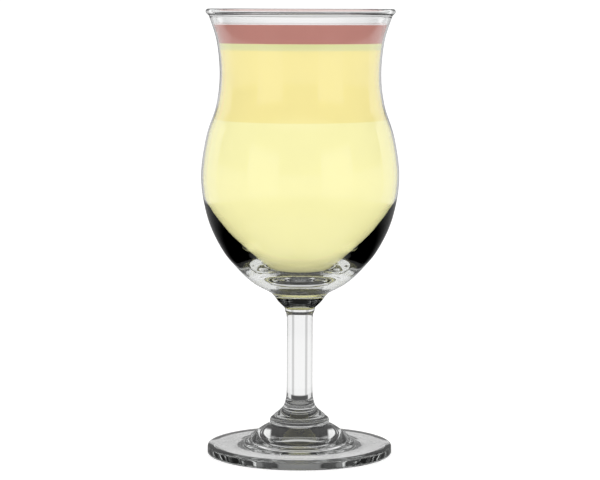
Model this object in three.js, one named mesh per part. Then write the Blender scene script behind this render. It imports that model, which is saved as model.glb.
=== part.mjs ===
// Layered pineapple drink in a clear stem glass with a flared rim, a waist, a round bulb and a domed foot.
// Millimetres, +Z up. The origin is on the glass's axis, at the level of the surface it stands on.
import * as THREE from 'three';

// Outside of the glass
const OVERALL_HEIGHT = 182.3;
const RIM_RADIUS = 38.5;
const WAIST_RADIUS = 32.8;
const WAIST_LEVEL = 155.6;
const BULB_RADIUS = 40.4;
const BULB_LEVEL = 113.8;
const STEM_RADIUS = 5.3;
const STEM_TOP = 57.2;
const STEM_BOTTOM = 24.5;
const FOOT_RADIUS = 37.9;

// Rim: a rolled bead on the edge of the flare
const BEAD_HEIGHT = 2.2;
const BEAD_WIDTH = 2.2;
const FLARE_TOP = OVERALL_HEIGHT - 2.8;

// Wall of the bowl, which grows into a heavy base under the bulb
const WALL_AT_RIM = 1.4;
const WALL_AT_WAIST = 1.35;
const WALL_AT_BULB = 1.5;
const BOWL_FLOOR = 75.4;

// Foot: a domed disc with an upright edge between round corners, under a collar ring at the stem's end
const FOOT_EDGE_HEIGHT = 3.6;
const FOOT_CORNER = 0.7;
const REST_RING_INNER = 31.4;
const HOLLOW_DEPTH = 2.6;
const COLLAR_RADIUS = 12.2;
const COLLAR_BOTTOM = 12;
const COLLAR_TOP = 15;

// Levels of the drink's layers, from its surface down
const DRINK_LEVEL = 176.2;
const RED_BOTTOM = 168.6;
const GREEN_BOTTOM = 165.9;
const GOLDEN_BOTTOM = 137.4;

// Gap kept between pieces that touch, and the least step between an outline's points where one is cut off
const CLEARANCE = 0.3;
const LEAST_STEP = 0.5;

// Facets round every turned piece, the same for all so that the wall's and the drink's stay parallel
const FACETS = 40;

// A smooth run through a few stations, each written as [radius, height]
function smoothRun(stations, divisions) {
  const points = stations.map(([radius, height]) => new THREE.Vector2(radius, height));
  return new THREE.SplineCurve(points).getPoints(divisions);
}

// A round stretch about a centre, turning anticlockwise from one angle to another, in degrees
function arc(centreRadius, centreHeight, halfWidth, halfHeight, fromAngle, toAngle, divisions) {
  const from = THREE.MathUtils.degToRad(fromAngle);
  const to = THREE.MathUtils.degToRad(toAngle);
  const curve = new THREE.EllipseCurve(centreRadius, centreHeight, halfWidth, halfHeight, from, to);
  return curve.getPoints(divisions);
}

// Joins stretches of an outline end to end, leaving out a point that falls on the one before
function joinRuns(...runs) {
  const joined = [];
  for (const point of runs.flat()) {
    const last = joined[joined.length - 1];
    if (!last || last.distanceTo(point) > 0.01) joined.push(point);
  }
  return joined;
}

// The underside of the foot, from the axis, down two low steps, out to the ring that it stands on
function footHollow() {
  return smoothRun([
    [0, HOLLOW_DEPTH],
    [7, HOLLOW_DEPTH - 0.1],
    [11.5, HOLLOW_DEPTH - 0.3],
    [13.2, 1.7],
    [16.4, 1.6],
    [18.2, 0.6],
    [24, 0.3],
    [REST_RING_INNER, 0],
  ], 14);
}

// The foot's edge and its two corners, its flat disc, the bell-shaped dome and the collar
function footTop() {
  const corner = FOOT_RADIUS - FOOT_CORNER;
  const collarMiddle = (COLLAR_BOTTOM + COLLAR_TOP) / 2;
  return joinRuns(
    arc(corner, FOOT_CORNER, FOOT_CORNER, FOOT_CORNER, -90, 0, 3),
    arc(corner, FOOT_EDGE_HEIGHT - FOOT_CORNER, FOOT_CORNER, FOOT_CORNER, 0, 75, 3),
    smoothRun([
      [34, 3.7],
      [28.5, 3.8],
      [24.6, 4.2],
      [22, 5.4],
      [19.8, 7.4],
      [17.3, 9.2],
      [15.1, 10.7],
      [COLLAR_RADIUS + 0.6, COLLAR_BOTTOM],
    ], 12),
    arc(COLLAR_RADIUS - 1.2, collarMiddle, 1.2, collarMiddle - COLLAR_BOTTOM, -60, 80, 4),
  );
}

// The neck above the collar, the stem, and the small ring under the bowl
function stemSide() {
  return joinRuns(
    smoothRun([
      [10.2, 16.1],
      [8, 17.9],
      [6.6, 19.5],
      [5.9, 21.5],
      [STEM_RADIUS + 0.1, STEM_BOTTOM],
      [STEM_RADIUS, STEM_BOTTOM + 5],
    ], 8),
    smoothRun([
      [STEM_RADIUS, STEM_TOP - 1],
      [STEM_RADIUS + 0.3, STEM_TOP + 0.8],
      [6, STEM_TOP + 1.6],
      [6.2, STEM_TOP + 2.8],
    ], 5),
  );
}

// The outside of the bowl, from its cone over the stem up to the bead
function bowlOutside() {
  return smoothRun([
    [6.4, 60.5],
    [8.8, 62.8],
    [11.6, 66.3],
    [15.5, 68.5],
    [19.5, 70.9],
    [24.5, 75.4],
    [31.8, 84.3],
    [37.8, 97.4],
    [BULB_RADIUS, BULB_LEVEL],
    [38.3, 130.2],
    [34.2, 143.2],
    [WAIST_RADIUS, WAIST_LEVEL],
    [34, 169.2],
    [RIM_RADIUS - 1.3, FLARE_TOP],
  ], 26);
}

// The wall's thickness at a height above the bulb's widest level
function wallAt(height) {
  if (height < WAIST_LEVEL) {
    return THREE.MathUtils.mapLinear(height, BULB_LEVEL, WAIST_LEVEL, WALL_AT_BULB, WALL_AT_WAIST);
  }
  return THREE.MathUtils.mapLinear(height, WAIST_LEVEL, FLARE_TOP, WALL_AT_WAIST, WALL_AT_RIM);
}

// Moves an outline's points to its left by a distance, square to the line between each point's neighbours
function movedLeft(outline, distance) {
  return outline.map((point, i) => {
    const before = outline[Math.max(i - 1, 0)];
    const after = outline[Math.min(i + 1, outline.length - 1)];
    const along = after.clone().sub(before).normalize();
    return new THREE.Vector2(point.x - along.y * distance, point.y + along.x * distance);
  });
}

// The inside of the bowl, from its floor on the axis up to the bead, or a surface that keeps a gap to it:
// a round floor in heavy glass, whose wall thins upwards like a wedge to the bulb's widest level, then the
// outside less the wall's thickness
function bowlInside(gap = 0) {
  const floor = smoothRun([
    [0, BOWL_FLOOR],
    [7.4, BOWL_FLOOR + 0.2],
    [12.9, BOWL_FLOOR + 0.9],
    [17.9, BOWL_FLOOR + 3],
    [22.8, BOWL_FLOOR + 6.7],
    [27.1, BOWL_FLOOR + 10.9],
    [31.25, BOWL_FLOOR + 15.9],
    [34.5, BOWL_FLOOR + 20.9],
    [36.85, BOWL_FLOOR + 25.9],
    [38.2, BOWL_FLOOR + 30.8],
    [BULB_RADIUS - WALL_AT_BULB, BULB_LEVEL],
  ], 18);
  const bottom = movedLeft(floor, gap);
  bottom[0].x = 0;
  const upper = bowlOutside()
    .filter((point) => point.y > BULB_LEVEL + LEAST_STEP)
    .map((point) => new THREE.Vector2(point.x - wallAt(point.y) - gap, point.y));
  return joinRuns(bottom, upper);
}

function glassOutline() {
  const beadMiddle = OVERALL_HEIGHT - BEAD_HEIGHT / 2;
  const beadCentre = RIM_RADIUS - BEAD_WIDTH / 2;
  return joinRuns(
    footHollow(),
    footTop(),
    stemSide(),
    bowlOutside(),
    arc(beadCentre, beadMiddle, BEAD_WIDTH / 2, BEAD_HEIGHT / 2, -60, 215, 8),
    bowlInside().reverse(),
  );
}

// The point of a rising outline at a height, by a straight line between its points
function pointAt(outline, height) {
  const above = outline.findIndex((point) => point.y >= height);
  const low = outline[above - 1];
  const high = outline[above];
  return new THREE.Vector2(THREE.MathUtils.mapLinear(height, low.y, high.y, low.x, high.x), height);
}

// One layer of the drink between two levels, clear of the wall, or down to the bowl's floor
function layerOutline(bottomLevel, topLevel) {
  const side = bowlInside(CLEARANCE);
  const lowest = bottomLevel + LEAST_STEP;
  const highest = topLevel - LEAST_STEP;
  const between = side.filter((point) => point.y > lowest && point.y < highest);
  const top = [pointAt(side, topLevel), new THREE.Vector2(0, topLevel)];
  if (bottomLevel < BOWL_FLOOR) return [...between, ...top];
  return [new THREE.Vector2(0, bottomLevel), pointAt(side, bottomLevel), ...between, ...top];
}

// Turns an outline round the vertical axis into a named piece
function turned(name, outline, colour, roughness) {
  const geometry = new THREE.LatheGeometry(outline, FACETS);
  geometry.rotateX(Math.PI / 2);
  const material = new THREE.MeshStandardMaterial({ color: colour, roughness, metalness: 0 });
  const mesh = new THREE.Mesh(geometry, material);
  mesh.name = name;
  return mesh;
}

const layers = [
  ['drink_pale_yellow_base', layerOutline(0, GOLDEN_BOTTOM - CLEARANCE), 0xfaf5b6],
  ['drink_golden_layer', layerOutline(GOLDEN_BOTTOM, GREEN_BOTTOM - CLEARANCE), 0xf7ea9f],
  ['drink_green_band', layerOutline(GREEN_BOTTOM, RED_BOTTOM - CLEARANCE), 0xe0e0a6],
  ['drink_red_top', layerOutline(RED_BOTTOM, DRINK_LEVEL), 0xbe857c],
];

const group = new THREE.Group();
group.add(turned('stem_glass', glassOutline(), 0xf2f4f3, 0.03));
for (const [name, outline, colour] of layers) {
  group.add(turned(name, outline, colour, 0.35));
}

export default group;
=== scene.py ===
# Layered pineapple cooler in its clear stem glass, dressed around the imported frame.
import math

import bpy
import numpy as np
from mathutils import Matrix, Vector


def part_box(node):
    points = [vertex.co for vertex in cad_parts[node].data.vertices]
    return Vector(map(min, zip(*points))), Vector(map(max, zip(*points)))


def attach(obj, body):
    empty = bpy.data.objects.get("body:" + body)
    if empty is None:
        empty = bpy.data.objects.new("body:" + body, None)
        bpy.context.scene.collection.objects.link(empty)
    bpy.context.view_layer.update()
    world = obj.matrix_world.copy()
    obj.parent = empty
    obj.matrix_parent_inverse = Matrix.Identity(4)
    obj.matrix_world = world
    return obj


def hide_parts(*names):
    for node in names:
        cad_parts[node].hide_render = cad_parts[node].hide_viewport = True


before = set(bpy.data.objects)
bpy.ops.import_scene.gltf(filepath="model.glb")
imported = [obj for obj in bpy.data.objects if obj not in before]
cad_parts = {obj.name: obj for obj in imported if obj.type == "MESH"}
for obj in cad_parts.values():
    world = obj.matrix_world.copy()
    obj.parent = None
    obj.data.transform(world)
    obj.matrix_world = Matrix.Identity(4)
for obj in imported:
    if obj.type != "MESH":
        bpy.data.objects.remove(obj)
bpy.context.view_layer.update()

bl_info = {
    "name": "Pineapple cooler",
    "version": (1, 0, 0),
    "blender": (4, 5, 0),
    "location": "View3D > Sidebar > Cooler",
    "description": "A layered pineapple drink in a clear stem glass, with its stage",
    "category": "Object",
}

# Every outline below is worked out in millimetres and made into metres with its mesh
MM = 0.001

# Sides of every turned piece, and of the round floor
SIDES = 160
FLOOR_SIDES = 96

# Steps of each smooth run or arc, and of the bowl's floor from one station to the next
HOLLOW_STEPS = 60
CORNER_STEPS = 7
DOME_STEPS = 40
COLLAR_STEPS = 10
NECK_STEPS = 26
RING_STEPS = 14
BOWL_STEPS = 104
BEAD_STEPS = 26
FLOOR_STEPS = 9

# A point is left out where it lies this near to the one before, or to a level that cuts the outline
SAME_POINT = 0.01
LEAST_STEP = 0.05

# Edges of a mesh that are sharper than this stay crisp, in degrees
SHARP_EDGE = 50

# Sizes that the frame gives
GLASS_LOW, GLASS_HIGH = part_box("stem_glass")
OVERALL_HEIGHT = (GLASS_HIGH.z - GLASS_LOW.z) / MM
BULB_RADIUS = (GLASS_HIGH.x - GLASS_LOW.x) / 2 / MM

# Sizes of the glass that the frame's boxes don't give
RIM_RADIUS = 38.5
WAIST_RADIUS = 32.8
WAIST_LEVEL = 155.6
BULB_LEVEL = 113.8
STEM_RADIUS = 5.3
STEM_TOP = 57.2
STEM_BOTTOM = 24.5
FOOT_RADIUS = 37.9
BEAD_HEIGHT = 2.2
BEAD_WIDTH = 2.2
FLARE_TOP = OVERALL_HEIGHT - 2.8
WALL_AT_RIM = 1.4
WALL_AT_WAIST = 1.35
WALL_AT_BULB = 1.5
BOWL_FLOOR = 75.4
FOOT_EDGE_HEIGHT = 3.6
FOOT_CORNER = 0.7
REST_RING_INNER = 31.4
HOLLOW_DEPTH = 2.6
COLLAR_RADIUS = 12.2
COLLAR_BOTTOM = 12
COLLAR_TOP = 15
COLLAR_ROUND = 1.2

# How the inside rises above the bowl's floor: radius and rise. The wall thins upwards like a wedge
FLOOR_RISES = [
    (0, 0),
    (7.4, 0.2),
    (12.9, 0.9),
    (17.9, 3),
    (22.8, 6.7),
    (27.1, 10.9),
    (31.25, 15.9),
    (34.5, 20.9),
    (36.85, 25.9),
    (38.2, 30.8),
]

# Over the bulb's widest level, how far up the floor's run ends and the thin wall's begins
FLOOR_RUN_END = 0.1
THIN_WALL_START = 0.3

# How far the drink's clear margin reaches into the wall and over the drink's surface, and how far the
# drink's cloudy body stays behind the wall
REACH = 0.05
MARGIN_RISE = 0.3
MARGIN = 0.12

# Refractive indices: of soda-lime glass, of juice, and of the margin, which is chosen for its look
GLASS_INDEX = 1.52
JUICE_INDEX = 1.34
MARGIN_INDEX = 1.02

# How dense the glass's grey is, per metre, and how strongly the mould's ripple tilts its surface
GREY_DENSITY = 18.0
RIPPLE_STRENGTH = 0.03

# Share of the drink's look that is painted glow, an emission that evens out its shading, and of white in the
# froth on its surface
PAINTED_GLOW = 0.54
FROTH = 0.45

# Tone of the darkest clouds of pulp
PULP_TONE = 0.97

# Painted shade that darkens the drink towards the bowl's floor: up to this height, and its tone at the floor
PAINTED_SHADE_DEPTH = 13
PAINTED_SHADE_TONE = 0.48

# Ripple of the mould in the glass, clouds of pulp in the juice and grain of the floor, across. The floor's
# real grain is too fine to show, so it is drawn coarser
MOULD_RIPPLE = 14
PULP_CLOUD = 18
FLOOR_GRAIN = 2

# The sheet that the glass stands on
FLOOR_THICKNESS = 2

# The camera's sensor in millimetres, and the nearest thing that it sees in metres
SENSOR_WIDTH = 36
NEAREST = 0.01

# Most bounces of a ray in all, through glass and mirrored. The black crescents beside the bottom of the
# drink are light that is still trapped in the wall after the last mirrored one
MOST_BOUNCES = 24
GLASS_BOUNCES = 16
MIRROR_BOUNCES = 8

# The studio round the glass. Each row is a band of panels: lowest and highest elevation, then least and
# most turn from the nearest quarter of a circle, all in degrees, then glow and soft edge. The turn runs
# from 0 to 45, so a limit outside that leaves no gap. There is one list for rays that only pass through
# glass, one for those mirrored inside it, and one for those that never enter it
SEEN_THROUGH_GLASS = [
    (-90, 90, -9, 54, 0.08, 1),
    (-18, 7, -9, 54, 0.68, 5),
    (-18, 7, -9, 18.5, 1.02, 4),
    (-18, 7, 26.5, 54, 1.02, 4),
    (-33, -15, 31, 54, 0.9, 6),
    (34, 60, -9, 54, 1.3, 8),
    (-100, -55, -9, 54, 0.9, 6),
]
MIRRORED_INSIDE = [
    (-90, 90, -9, 54, 0.06, 1),
    (-18, 3, -9, 25, 0.8, 5),
    (-18, 16, 25, 54, 1.2, 5),
    (-33, -15, 31, 54, 0.2, 6),
    (34, 60, -9, 54, 0.7, 8),
    (-100, -55, -9, 54, 0.3, 6),
]
MIRRORED_OUTSIDE = [(-16, 60, -9, 54, 0.3, 20)]

# The widest that a panel's soft edges are at its two sides, in degrees
SIDE_SOFT = 3

# What falls on matt surfaces from all sides, and the backdrop's white behind the glass
SOFT_LIGHT = 1.0
PLAIN_WHITE = 1.1

# The layers from the floor up: piece, CAD node, slot, colour property
LAYERS = [
    ("pale_yellow_juice", "drink_pale_yellow_base", "pale_yellow_juice", "pale_yellow"),
    ("golden_juice", "drink_golden_layer", "golden_juice", "golden"),
    ("pale_green_juice", "drink_green_band", "pale_green_juice", "pale_green"),
    ("red_juice", "drink_red_top", "red_syrup_juice", "red"),
]


def smooth_run(stations, steps):
    """Uniform Catmull-Rom run through stations of (radius, height): between two stations the point is the
    cubic whose end slopes are half the chord between each station's neighbours, with the end stations
    doubled."""
    p = np.asarray(stations, float)
    t = np.linspace(0, len(p) - 1, steps + 1)
    i = np.minimum(t.astype(int), len(p) - 2)
    u = (t - i)[:, None]
    before, start, end, after = (p[np.clip(i + k, 0, len(p) - 1)] for k in (-1, 0, 1, 2))
    slope_start, slope_end = (end - before) / 2, (after - start) / 2
    return (
        (2 * start - 2 * end + slope_start + slope_end) * u**3
        + (3 * end - 3 * start - 2 * slope_start - slope_end) * u**2
        + slope_start * u
        + start
    )


def arc_run(centre, half_width, half_height, from_angle, to_angle, steps):
    """An elliptic arc: centre + (half_width cos a, half_height sin a) for a from one angle to the other, in
    degrees."""
    a = np.radians(np.linspace(from_angle, to_angle, steps + 1))
    return np.stack([centre[0] + half_width * np.cos(a), centre[1] + half_height * np.sin(a)], 1)


def join_runs(*runs):
    """The runs end to end, less each point that lies on the one before."""
    p = np.vstack(runs)
    step = np.hypot(*np.diff(p, axis=0).T)
    return p[np.concatenate([[True], step > SAME_POINT])]


def foot_hollow():
    """The underside of the foot: a smooth run from its middle, down two low steps, to its rest ring."""
    middle = [(0, HOLLOW_DEPTH), (7, HOLLOW_DEPTH - 0.1), (11.5, HOLLOW_DEPTH - 0.3)]
    steps = [(13.2, 1.7), (16.4, 1.6), (18.2, 0.6), (24, 0.3), (REST_RING_INNER, 0)]
    return smooth_run(middle + steps, HOLLOW_STEPS)


def foot_top():
    """The foot from below its edge to the collar: an upright edge between two round corners, a smooth run
    over disc and dome, and the collar's arc."""
    side = FOOT_RADIUS - FOOT_CORNER
    top = FOOT_EDGE_HEIGHT - FOOT_CORNER
    collar = (COLLAR_BOTTOM + COLLAR_TOP) / 2
    disc = [(34, 3.7), (28.5, 3.8), (24.6, 4.2)]
    dome = [(22, 5.4), (19.8, 7.4), (17.3, 9.2), (15.1, 10.7), (COLLAR_RADIUS + 0.6, COLLAR_BOTTOM)]
    ring = (COLLAR_RADIUS - COLLAR_ROUND, collar)
    return join_runs(
        arc_run((side, FOOT_CORNER), FOOT_CORNER, FOOT_CORNER, -90, 0, CORNER_STEPS),
        arc_run((side, top), FOOT_CORNER, FOOT_CORNER, 0, 75, CORNER_STEPS),
        smooth_run(disc + dome, DOME_STEPS),
        arc_run(ring, COLLAR_ROUND, collar - COLLAR_BOTTOM, -60, 80, COLLAR_STEPS),
    )


def stem_side():
    """The neck over the collar and the small ring under the bowl: two smooth runs with the straight stem
    between."""
    neck = [(10.2, 16.1), (8, 17.9), (6.6, 19.5), (5.9, 21.5)]
    neck += [(STEM_RADIUS + 0.1, STEM_BOTTOM), (STEM_RADIUS, STEM_BOTTOM + 5)]
    ring = [(STEM_RADIUS, STEM_TOP - 1), (STEM_RADIUS + 0.3, STEM_TOP + 0.8)]
    ring += [(6, STEM_TOP + 1.6), (6.2, STEM_TOP + 2.8)]
    return join_runs(smooth_run(neck, NECK_STEPS), smooth_run(ring, RING_STEPS))


def bowl_outside():
    """The outside of the bowl: one smooth run over cone, bulb, waist and flare."""
    cone = [(6.4, 60.5), (8.8, 62.8), (11.6, 66.3), (15.5, 68.5), (19.5, 70.9), (24.5, 75.4)]
    bulb = [(31.8, 84.3), (37.8, 97.4), (BULB_RADIUS, BULB_LEVEL), (38.3, 130.2), (34.2, 143.2)]
    flare = [(WAIST_RADIUS, WAIST_LEVEL), (34, 169.2), (RIM_RADIUS - 1.3, FLARE_TOP)]
    return smooth_run(cone + bulb + flare, BOWL_STEPS)


def wall_at(height):
    """The wall's thickness above the bulb's widest level, by straight lines between bulb, waist and rim."""
    levels = [BULB_LEVEL, WAIST_LEVEL, FLARE_TOP]
    return np.interp(height, levels, [WALL_AT_BULB, WALL_AT_WAIST, WALL_AT_RIM])


def moved_left(outline, distance):
    """Each point moved to the outline's left by a distance, square to the line between its neighbours."""
    along = np.gradient(outline, axis=0)
    along /= np.hypot(*along.T)[:, None]
    return outline + distance * np.stack([-along[:, 1], along[:, 0]], 1)


def bowl_inside(gap=0.0):
    """The bowl's inside less a gap: a smooth run over the heavy floor up to the bulb's widest level, moved
    up and in by the gap, and above it the outside's radius less the wall's thickness and the gap. The run
    goes on to one more station above that level, and is cut there, so that the two meet without a kink."""
    outside = bowl_outside()
    floor = [(radius, BOWL_FLOOR + rise) for radius, rise in FLOOR_RISES]
    over = 2 * BULB_LEVEL - floor[-1][1]
    floor.append((BULB_RADIUS - WALL_AT_BULB, BULB_LEVEL))
    floor.append((np.interp(over, outside[:, 1], outside[:, 0]) - wall_at(over), over))
    bottom = moved_left(smooth_run(floor, FLOOR_STEPS * (len(floor) - 1)), gap)
    bottom = bottom[bottom[:, 1] < BULB_LEVEL + FLOOR_RUN_END]
    bottom[0, 0] = 0
    upper = outside[outside[:, 1] > BULB_LEVEL + THIN_WALL_START]
    upper = np.stack([upper[:, 0] - wall_at(upper[:, 1]) - gap, upper[:, 1]], 1)
    return join_runs(bottom, upper)


def glass_outline():
    """The glass's whole section, from the axis under the foot, up the outside, over the bead and down the
    inside."""
    bead = (RIM_RADIUS - BEAD_WIDTH / 2, OVERALL_HEIGHT - BEAD_HEIGHT / 2)
    return join_runs(
        foot_hollow(),
        foot_top(),
        stem_side(),
        bowl_outside(),
        arc_run(bead, BEAD_WIDTH / 2, BEAD_HEIGHT / 2, -60, 215, BEAD_STEPS),
        bowl_inside()[::-1],
    )


def cut_outline(gap, low, high):
    """The bowl's inside, less a gap, between two levels, closed to the axis at the top, and at the bottom
    too unless that level lies under the bowl's floor."""
    side = bowl_inside(gap)
    inner = side[(side[:, 1] > low + LEAST_STEP) & (side[:, 1] < high - LEAST_STEP)]
    top = [(np.interp(high, side[:, 1], side[:, 0]), high), (0, high)]
    if low < side[0, 1]:
        return np.vstack([inner, top])
    bottom = [(0, low), (np.interp(low, side[:, 1], side[:, 0]), low)]
    return np.vstack([bottom, inner, top])


def turned_mesh(name, outline, sides):
    """A closed surface of two parameters: the outline's point (r, z) turned by the angle t lies at
    (r cos t, r sin t, z). The outline starts and ends on the axis, where a fan closes it to one pole."""
    ring = outline[1:-1]
    t = np.linspace(0, 2 * np.pi, sides, endpoint=False)
    x, y = ring[:, :1] * np.cos(t), ring[:, :1] * np.sin(t)
    z = np.broadcast_to(ring[:, 1:], x.shape)
    poles = [[0, 0, outline[0, 1]], [0, 0, outline[-1, 1]]]
    points = np.vstack([np.stack([x, y, z], -1).reshape(-1, 3), poles]) * MM
    column = np.arange(sides)
    beside = (column + 1) % sides
    row = np.arange(len(ring) - 1)[:, None] * sides
    quads = np.stack([row + column, row + beside, row + sides + beside, row + sides + column], -1)
    first, last, top_row = len(points) - 2, len(points) - 1, (len(ring) - 1) * sides
    low_fan = np.stack([np.full(sides, first), beside, column], 1)
    high_fan = np.stack([np.full(sides, last), top_row + column, top_row + beside], 1)
    mesh = bpy.data.meshes.new(name)
    faces = quads.reshape(-1, 4).tolist() + low_fan.tolist() + high_fan.tolist()
    mesh.from_pydata(points.tolist(), [], faces)
    mesh.polygons.foreach_set("use_smooth", np.ones(len(faces), bool))
    mesh.set_sharp_from_angle(angle=math.radians(SHARP_EDGE))
    mesh.update()
    return mesh


def add_piece(name, mesh, material, nodes):
    """Puts a mesh in the place of its CAD nodes, on the one body that there is."""
    piece = bpy.data.objects.new(name, mesh)
    bpy.context.scene.collection.objects.link(piece)
    mesh.materials.append(material)
    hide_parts(*nodes)
    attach(piece, "root")


def linear(colour):
    """The linear colour of an sRGB hex value, with an alpha of one."""
    s = np.array([int(colour[i : i + 2], 16) for i in (1, 3, 5)]) / 255
    lin = np.where(s <= 0.04045, s / 12.92, ((s + 0.055) / 1.055) ** 2.4)
    return (*lin.tolist(), 1.0)


WHITE = linear("#ffffff")

# What the glass and the drink's margin have in common
CLEAR = {"Base Color": WHITE, "Roughness": 0.0, "Transmission Weight": 1.0}

# Settings that more than one node has
PRODUCT = {"operation": "MULTIPLY"}
SMOOTH = {"interpolation_type": "SMOOTHSTEP"}


def add_node(tree, kind, settings=None, **links):
    """Adds a node. settings holds attributes and, by a socket's name or number, plain values. links feed
    sockets from an output: a socket's name with _ for a space, or in_ and its number."""
    node = tree.nodes.new(kind)
    for key, value in (settings or {}).items():
        if isinstance(key, int) or key in node.inputs:
            node.inputs[key].default_value = value
        else:
            setattr(node, key, value)
    for key, output in links.items():
        name = int(key[3:]) if key.startswith("in_") else key.replace("_", " ")
        tree.links.new(output, node.inputs[name])
    return node


def new_material(name):
    """A material with no nodes yet."""
    material = bpy.data.materials.new(name)
    material.use_nodes = True
    material.node_tree.nodes.clear()
    return material


def glass_material():
    """Soda-lime glass, blown bowl on a pressed foot, fire-polished: clear, with hard bright reflections, a
    grey that only shows where the glass is thick, and a faint ripple left by the mould."""
    material = new_material("soda-lime glass, fire-polished")
    tree = material.node_tree
    at = add_node(tree, "ShaderNodeTexCoord").outputs["Object"]
    pattern = {"Scale": 1 / (MOULD_RIPPLE * MM), "Detail": 0.0}
    ripple = add_node(tree, "ShaderNodeTexNoise", pattern, Vector=at)
    relief = {"Strength": RIPPLE_STRENGTH, "Distance": MM}
    bump = add_node(tree, "ShaderNodeBump", relief, Height=ripple.outputs["Fac"])
    clear = {**CLEAR, "IOR": GLASS_INDEX}
    shader = add_node(tree, "ShaderNodeBsdfPrincipled", clear, Normal=bump.outputs["Normal"])
    grey = {"Color": linear("#d8dad9"), "Density": GREY_DENSITY}
    tint = add_node(tree, "ShaderNodeVolumeAbsorption", grey)
    body = tint.outputs["Volume"]
    add_node(tree, "ShaderNodeOutputMaterial", Surface=shader.outputs["BSDF"], Volume=body)
    return material


def juice_material(name, colour, roughness=0.5, gloss=0.2, froth=0.0, glow=PAINTED_GLOW):
    """Cloudy juice: fine pulp makes it opaque and soft, in clouds a little lighter and darker, with painted
    shade that darkens it towards the bowl's floor. A painted glow, an emission in its own colour, evens
    out its shading. Its open surface is smooth, with a trace of froth."""
    material = new_material(name)
    tree = material.node_tree
    at = add_node(tree, "ShaderNodeTexCoord").outputs["Object"]
    pattern = {"Scale": 1 / (PULP_CLOUD * MM), "Detail": 3.0}
    cloud = add_node(tree, "ShaderNodeTexNoise", pattern, Vector=at)
    shade = add_node(tree, "ShaderNodeMapRange", {"To Min": PULP_TONE}, Value=cloud.outputs["Fac"])
    height = add_node(tree, "ShaderNodeSeparateXYZ", Vector=at)
    # Painted shade: the juice is made darker towards the bowl's floor
    painted_shade_range = {
        **SMOOTH,
        "From Min": BOWL_FLOOR * MM,
        "From Max": (BOWL_FLOOR + PAINTED_SHADE_DEPTH) * MM,
        "To Min": PAINTED_SHADE_TONE,
    }
    painted_floor_shade = add_node(tree, "ShaderNodeMapRange", painted_shade_range, Value=height.outputs["Z"])
    both = add_node(tree, "ShaderNodeMath", PRODUCT, in_0=shade.outputs[0], in_1=painted_floor_shade.outputs[0])
    frothy = [value + froth * (1 - value) for value in linear(colour)[:3]]
    cloud_and_painted_shade = {"operation": "SCALE", 0: frothy}
    tone = add_node(tree, "ShaderNodeVectorMath", cloud_and_painted_shade, Scale=both.outputs[0]).outputs["Vector"]
    # Emission Strength is a painted glow that evens out the juice's shading
    cloudy_with_painted_glow = {
        "Roughness": roughness,
        "IOR": JUICE_INDEX,
        "Specular IOR Level": gloss,
        "Emission Strength": glow,
    }
    shader = add_node(tree, "ShaderNodeBsdfPrincipled", cloudy_with_painted_glow, Base_Color=tone, Emission_Color=tone)
    add_node(tree, "ShaderNodeOutputMaterial", Surface=shader.outputs["BSDF"])
    return material


def margin_material():
    """The clear margin of settled juice against the wall. It bends light so little that the drink is seen
    to end a little inside the glass's outline."""
    material = new_material("clear juice margin")
    tree = material.node_tree
    shader = add_node(tree, "ShaderNodeBsdfPrincipled", {**CLEAR, "IOR": MARGIN_INDEX})
    add_node(tree, "ShaderNodeOutputMaterial", Surface=shader.outputs["BSDF"])
    return material


def floor_material():
    """Opal acrylic sheet, lit from below as on a shooting table: an even pale white with a fine sanded
    grain."""
    material = new_material("opal acrylic sheet, sanded")
    tree = material.node_tree
    at = add_node(tree, "ShaderNodeTexCoord").outputs["Object"]
    grain = add_node(tree, "ShaderNodeTexNoise", {"Scale": 1 / (FLOOR_GRAIN * MM)}, Vector=at)
    pale = {"To Min": 0.94, "To Max": 0.98}
    tone = add_node(tree, "ShaderNodeMapRange", pale, Value=grain.outputs["Fac"])
    sanded = {
        "Roughness": 0.7,
        "Specular IOR Level": 0.1,
        "Emission Color": WHITE,
        "Emission Strength": 0.35,
    }
    shader = add_node(tree, "ShaderNodeBsdfPrincipled", sanded, Base_Color=tone.outputs["Result"])
    add_node(tree, "ShaderNodeOutputMaterial", Surface=shader.outputs["BSDF"])
    return material


def soft_band(tree, value, low, high, soft):
    """One between two limits of an angle and nothing outside them: the product of a smooth rise at the low
    limit and a smooth fall at the high one, both of a given width. The limits are in degrees and the angle
    in radians."""
    edges = []
    for limit, before, after in ((low, 0.0, 1.0), (high, 1.0, 0.0)):
        edge = {
            **SMOOTH,
            "From Min": math.radians(limit - soft / 2),
            "From Max": math.radians(limit + soft / 2),
            "To Min": before,
            "To Max": after,
        }
        edges.append(add_node(tree, "ShaderNodeMapRange", edge, Value=value).outputs[0])
    return add_node(tree, "ShaderNodeMath", PRODUCT, in_0=edges[0], in_1=edges[1]).outputs[0]


def panels_glow(tree, rise, turn, panels):
    """The brightest of a list of panels, by elevation and by turn from the nearest quarter of a circle."""
    level = None
    for low, high, start, end, glow, soft in panels:
        up = soft_band(tree, rise, low, high, soft)
        across = soft_band(tree, turn, start, end, min(soft, SIDE_SOFT))
        both = add_node(tree, "ShaderNodeMath", PRODUCT, in_0=up, in_1=across).outputs[0]
        lit = add_node(tree, "ShaderNodeMath", {**PRODUCT, 1: glow}, in_0=both).outputs[0]
        if level is None:
            level = lit
        else:
            brighter = {"operation": "MAXIMUM"}
            level = add_node(tree, "ShaderNodeMath", brighter, in_0=level, in_1=lit).outputs[0]
    return level


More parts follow.
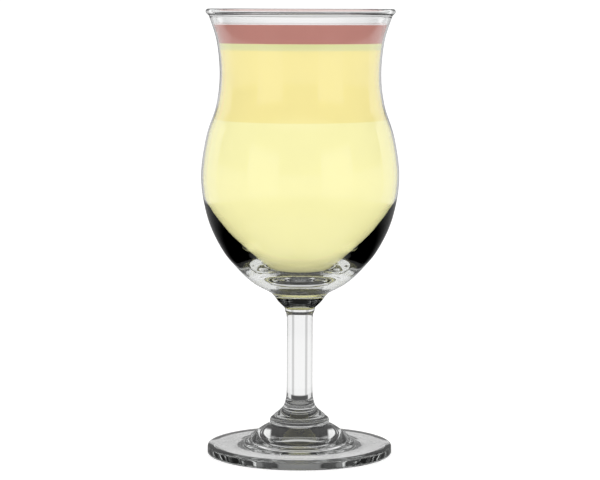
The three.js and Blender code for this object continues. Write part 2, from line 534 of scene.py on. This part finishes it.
def studio_world():
    """The studio that the glass shows: a wall of eight lit panels, at the quarters of the circle and
    between them, with dimmer strips where they part, under a bright ring in the ceiling and over a dark
    floor with four lit patches and a lit middle. Rays mirrored inside the glass see it with other glows,
    and with panels of two heights side by side. Rays that never enter the glass see one dim band. The
    camera itself sees plain white, and what is matt gets an even soft light."""
    world = bpy.data.worlds.new("studio")
    world.use_nodes = True
    tree = world.node_tree
    tree.nodes.clear()
    view = add_node(tree, "ShaderNodeTexCoord")
    part = add_node(tree, "ShaderNodeSeparateXYZ", Vector=view.outputs["Generated"])
    east, north = part.outputs["X"], part.outputs["Y"]
    rise = add_node(tree, "ShaderNodeMath", {"operation": "ARCSINE"}, in_0=part.outputs["Z"]).outputs[0]
    turn = add_node(tree, "ShaderNodeMath", {"operation": "ARCTAN2"}, in_0=east, in_1=north).outputs[0]
    quarters = {"operation": "PINGPONG", 1: math.pi / 4}
    fold = add_node(tree, "ShaderNodeMath", quarters, in_0=turn).outputs[0]
    path = add_node(tree, "ShaderNodeLightPath")
    happened = {"operation": "GREATER_THAN", 1: 0.5}
    mirrored, entered, matt = (
        add_node(tree, "ShaderNodeMath", happened, in_0=path.outputs[f"{event} Depth"]).outputs[0]
        for event in ("Glossy", "Transmission", "Diffuse")
    )
    through, inside, outside = (
        panels_glow(tree, rise, fold, panels)
        for panels in (SEEN_THROUGH_GLASS, MIRRORED_INSIDE, MIRRORED_OUTSIDE)
    )
    level = add_node(tree, "ShaderNodeMix", in_0=mirrored, in_2=through, in_3=inside).outputs[0]
    level = add_node(tree, "ShaderNodeMix", in_0=entered, in_2=outside, in_3=level).outputs[0]
    for switch, glow in ((matt, SOFT_LIGHT), (path.outputs["Is Camera Ray"], PLAIN_WHITE)):
        level = add_node(tree, "ShaderNodeMix", {3: glow}, in_0=switch, in_2=level).outputs[0]
    light = add_node(tree, "ShaderNodeBackground", {"Color": WHITE}, Strength=level)
    add_node(tree, "ShaderNodeOutputWorld", Surface=light.outputs[0])
    return world


def add_camera(scene, settings):
    """A camera in front of the glass's axis, turned down from level and rolled."""
    camera = bpy.data.objects.new("camera", bpy.data.cameras.new("camera"))
    scene.collection.objects.link(camera)
    camera.data.lens = settings.lens
    camera.data.sensor_width = SENSOR_WIDTH
    camera.data.clip_start = NEAREST
    camera.location = (0, -settings.distance, settings.height)
    tilt = Matrix.Rotation(math.radians(90) - settings.pitch, 4, "X")
    camera.rotation_euler = (tilt @ Matrix.Rotation(settings.roll, 4, "Z")).to_euler()
    return camera


def add_floor(scene, radius):
    """A round sheet whose top is the level that the glass stands on. The glass doesn't show it, because
    the studio's own floor stands for it there."""
    under = -FLOOR_THICKNESS
    sheet = np.array([(0, under), (radius, under), (radius, 0), (0, 0)])
    mesh = turned_mesh("floor", sheet, FLOOR_SIDES)
    floor = bpy.data.objects.new("studio_floor", mesh)
    scene.collection.objects.link(floor)
    mesh.materials.append(floor_material())
    floor.visible_glossy = False
    floor.visible_transmission = False


class CoolerDrink(bpy.types.PropertyGroup):
    """Colours of the drink's layers."""

    pale_yellow: bpy.props.StringProperty(name="Pale yellow", description="sRGB hex", default="#faf5b6")
    golden: bpy.props.StringProperty(name="Golden", description="sRGB hex", default="#f7ea9f")
    pale_green: bpy.props.StringProperty(name="Pale green", description="sRGB hex", default="#e0e0a6")
    red: bpy.props.StringProperty(name="Red", description="sRGB hex", default="#be857c")


class CoolerStage(bpy.types.PropertyGroup):
    """Where the camera stands, its lens, and how wide the floor is."""

    distance: bpy.props.FloatProperty(
        name="Distance", description="From the glass's axis to the camera", default=0.9133, unit="LENGTH"
    )
    height: bpy.props.FloatProperty(name="Height", description="Of the camera", default=0.1841, unit="LENGTH")
    pitch: bpy.props.FloatProperty(
        name="Pitch", description="Down from level", default=math.radians(6.0), unit="ROTATION"
    )
    roll: bpy.props.FloatProperty(
        name="Roll", description="Against the clock", default=math.radians(0.17), unit="ROTATION"
    )
    lens: bpy.props.FloatProperty(name="Lens", description="Focal length in millimetres", default=134.58)
    floor: bpy.props.FloatProperty(name="Floor", description="Radius", default=2.0, unit="LENGTH")


class COOLER_OT_glass(bpy.types.Operator):
    """Makes the stem glass"""

    bl_idname = "cooler.glass"
    bl_label = "Stem glass"

    def execute(self, context):
        mesh = turned_mesh("stem_glass_blown", glass_outline(), SIDES)
        add_piece("stem_glass_blown", mesh, glass_material(), ["stem_glass"])
        return {"FINISHED"}


class COOLER_OT_drink(bpy.types.Operator):
    """Makes the drink's layers and its clear margin"""

    bl_idname = "cooler.drink"
    bl_label = "Layered drink"

    def execute(self, context):
        colours = context.scene.cooler_drink
        lows = [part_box(node)[0].z / MM for _, node, _, _ in LAYERS]
        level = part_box(LAYERS[-1][1])[1].z / MM
        highs = lows[1:] + [level]
        # The lowest layer has no flat bottom: it goes down to the bowl's floor
        lows[0] = 0
        for (name, node, slot, colour), low, high in zip(LAYERS, lows, highs):
            mesh = turned_mesh(name, cut_outline(MARGIN, low, high), SIDES)
            add_piece(name, mesh, juice_material(name, getattr(colours, colour)), [node])
        # The open surface is the last fan of the last layer's mesh
        # The open surface gets half the painted glow
        open_surface = {"roughness": 0.04, "gloss": 0.5, "froth": FROTH, "glow": PAINTED_GLOW / 2}
        mesh.materials.append(juice_material("red_juice_open_surface", colours.red, **open_surface))
        faces = np.arange(len(mesh.polygons))
        mesh.polygons.foreach_set("material_index", (faces >= len(faces) - SIDES).astype(int))
        margin = cut_outline(-REACH, 0, level + MARGIN_RISE)
        mesh = turned_mesh("clear_juice_margin", margin, SIDES)
        add_piece("clear_juice_margin", mesh, margin_material(), [LAYERS[0][1]])
        return {"FINISHED"}


class COOLER_OT_stage(bpy.types.Operator):
    """Makes the floor, the studio light and the camera"""

    bl_idname = "cooler.stage"
    bl_label = "Stage"

    def execute(self, context):
        scene = context.scene
        settings = scene.cooler_stage
        scene.view_settings.view_transform = "Standard"
        scene.cycles.max_bounces = MOST_BOUNCES
        scene.cycles.transmission_bounces = GLASS_BOUNCES
        scene.cycles.glossy_bounces = MIRROR_BOUNCES
        scene.world = studio_world()
        scene.camera = add_camera(scene, settings)
        add_floor(scene, settings.floor / MM)
        return {"FINISHED"}


class COOLER_PT_panel(bpy.types.Panel):
    """Lists the drink's colours, the stage's settings and the operators"""

    bl_label = "Pineapple cooler"
    bl_idname = "COOLER_PT_panel"
    bl_space_type = "VIEW_3D"
    bl_region_type = "UI"
    bl_category = "Cooler"

    def draw(self, context):
        for settings in (context.scene.cooler_drink, context.scene.cooler_stage):
            for name in settings.bl_rna.properties.keys():
                if name not in ("rna_type", "name"):
                    self.layout.prop(settings, name)
        for operator in OPERATORS:
            self.layout.operator(operator.bl_idname)


OPERATORS = (COOLER_OT_glass, COOLER_OT_drink, COOLER_OT_stage)
CLASSES = (CoolerDrink, CoolerStage, *OPERATORS, COOLER_PT_panel)


def register():
    for each in CLASSES:
        bpy.utils.register_class(each)
    bpy.types.Scene.cooler_drink = bpy.props.PointerProperty(type=CoolerDrink)
    bpy.types.Scene.cooler_stage = bpy.props.PointerProperty(type=CoolerStage)


def unregister():
    del bpy.types.Scene.cooler_stage
    del bpy.types.Scene.cooler_drink
    for each in reversed(CLASSES):
        bpy.utils.unregister_class(each)


def main():
    register()
    bpy.ops.cooler.glass()
    bpy.ops.cooler.drink()
    bpy.ops.cooler.stage()


if __name__ == "__main__":
    main()
